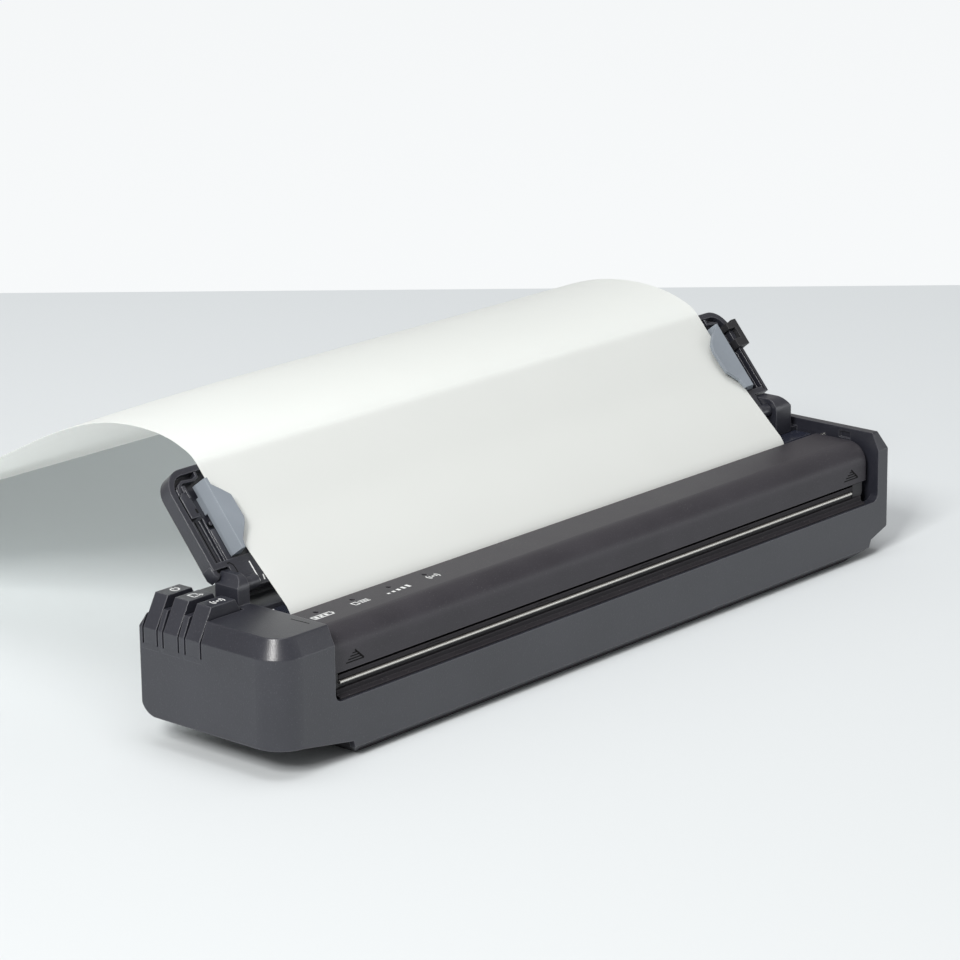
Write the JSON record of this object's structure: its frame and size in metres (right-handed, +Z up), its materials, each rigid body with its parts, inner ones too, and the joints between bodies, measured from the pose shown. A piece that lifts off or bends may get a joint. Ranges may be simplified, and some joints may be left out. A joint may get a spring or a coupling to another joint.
{
  "type": "portable thermal printer",
  "caption": "Low bar-shaped printer with a hinged paper lid, release cover, tear bar, side keys, sliding edge guides and a loaded sheet.",
  "frame": {"origin": "on the table, under the middle of the housing's footprint, in the plane of the feet", "axes": "+X to the right along the printer seen from the front, -Y towards the front where paper comes out, +Z up"},
  "size_m": [0.259, 0.2655, 0.0748],
  "materials": {
    "charcoal_plastic": "fine spark texture, satin",
    "cover_plastic": "fine spark texture, satin",
    "black_plastic": "matt moulded",
    "grey_plastic": "matt moulded light grey",
    "navy_gloss": "glossy",
    "rubber": "matt",
    "steel": "plain sheet and turned steel",
    "heat_sink": "extruded",
    "ceramic_head": "glazed strip",
    "circuit_board": "solder mask",
    "battery_wrap": "shrink wrap",
    "jack_plastic": "moulded",
    "light_pipe": "clear smoky rod",
    "paper": "plain thermal sheet"
  },
  "bodies": {
    "housing": {"casing": "charcoal_plastic", "base_cover": "black_plastic", "feet": "rubber", "case_screws": "steel", "inner_frame": "steel", "shaft_bushes": "black_plastic", "idler_axle": "steel", "drive_motor": "steel", "exit_guide": "black_plastic", "tear_bar": "steel", "inlet_guide": "navy_gloss", "paper_sensor": "black_plastic", "main_board": "circuit_board", "battery_pack": "battery_wrap", "socket_board": "circuit_board", "usb_socket": "steel", "power_jack": "jack_plastic", "key_board": "circuit_board", "hinge_pins": "steel"},
    "platen": {"platen_shaft": "steel", "platen_roller": "rubber", "platen_gear": "black_plastic"},
    "idler": {"idler_gear": "black_plastic"},
    "motor_rotor": {"motor_shaft": "steel", "motor_pinion": "black_plastic"},
    "cover": {"release_cover": "cover_plastic", "cover_pins": "steel", "light_pipes": "light_pipe", "print_head": "ceramic_head", "head_bracket": "heat_sink", "head_springs": "steel"},
    "paper_lid": {"lid": "charcoal_plastic", "support_panel": "black_plastic"},
    "left_guide": {"guide_left": "grey_plastic", "rack_left": "black_plastic"},
    "right_guide": {"guide_right": "grey_plastic", "rack_right": "black_plastic"},
    "rack_pinion": {"guide_pinion": "black_plastic"},
    "left_latch": {"latch_left": "black_plastic"},
    "right_latch": {"latch_right": "black_plastic"},
    "power_button": {"power_key": "charcoal_plastic"},
    "feed_button": {"feed_key": "charcoal_plastic"},
    "wireless_button": {"wireless_key": "charcoal_plastic"},
    "sheet": {"paper_sheet": "paper"}
  },
  "joints": [
    {"name": "lid_hinge", "type": "hinge", "parent": "housing", "child": "paper_lid", "pos_m": [0, 0.00808, 0.0414], "axis": [1, 0, 0], "range_deg": [0, 136]},
    {"name": "sheet_drape", "type": "hinge", "parent": "paper_lid", "child": "sheet", "pos_m": [0, 0.03303, 0.06693], "axis": [1, 0, 0], "range_deg": [-128, 0], "deforming": ["paper_sheet"]},
    {"name": "cover_hinge", "type": "hinge", "parent": "housing", "child": "cover", "pos_m": [0, -0.0043, 0.0334], "axis": [1, 0, 0], "range_deg": [-70, 0]},
    {"name": "platen_turn", "type": "hinge", "parent": "housing", "child": "platen", "pos_m": [0, -0.0165, 0.0171], "axis": [1, 0, 0], "continuous": true},
    {"name": "idler_turn", "type": "hinge", "parent": "housing", "child": "idler", "pos_m": [0.1154, -0.0052, 0.0132], "axis": [1, 0, 0], "continuous": true},
    {"name": "motor_turn", "type": "hinge", "parent": "housing", "child": "motor_rotor", "pos_m": [0.1154, 0.0047, 0.0145], "axis": [1, 0, 0], "continuous": true},
    {"name": "left_guide_slide", "type": "slide", "parent": "paper_lid", "child": "left_guide", "axis": [1, 0, 0], "range_m": [-0.003, 0]},
    {"name": "right_guide_slide", "type": "slide", "parent": "paper_lid", "child": "right_guide", "axis": [1, 0, 0], "range_m": [0, 0.003]},
    {"name": "rack_pinion_turn", "type": "hinge", "parent": "paper_lid", "child": "rack_pinion", "pos_m": [0.00345, 0.02268, 0.05538], "axis": [0, -0.766, 0.6428], "range_deg": [0, 60]},
    {"name": "left_latch_slide", "type": "slide", "parent": "paper_lid", "child": "left_latch", "axis": [0, 0.6428, 0.766], "range_m": [-0.013, 0]},
    {"name": "right_latch_slide", "type": "slide", "parent": "paper_lid", "child": "right_latch", "axis": [0, 0.6428, 0.766], "range_m": [-0.013, 0]},
    {"name": "power_press", "type": "hinge", "parent": "housing", "child": "power_button", "pos_m": [-0.1286, 0.0209, 0.0272], "axis": [0, 1, 0], "range_deg": [0, 2], "stiffness_Nm_per_rad": 0.35},
    {"name": "feed_press", "type": "hinge", "parent": "housing", "child": "feed_button", "pos_m": [-0.1286, 0.0134, 0.0272], "axis": [0, 1, 0], "range_deg": [0, 2], "stiffness_Nm_per_rad": 0.35},
    {"name": "wireless_press", "type": "hinge", "parent": "housing", "child": "wireless_button", "pos_m": [-0.1286, 0.00535, 0.0272], "axis": [0, 1, 0], "range_deg": [0, 2], "stiffness_Nm_per_rad": 0.35}
  ],
  "couplings": [
    {"joint": "sheet_drape", "follows": "lid_hinge", "ratio": -0.939},
    {"joint": "idler_turn", "follows": "platen_turn", "ratio": -0.66667},
    {"joint": "motor_turn", "follows": "platen_turn", "ratio": 1.7778},
    {"joint": "right_guide_slide", "follows": "left_guide_slide", "ratio": -1},
    {"joint": "rack_pinion_turn", "follows": "left_guide_slide", "rad_per_m": -338.98}
  ]
}
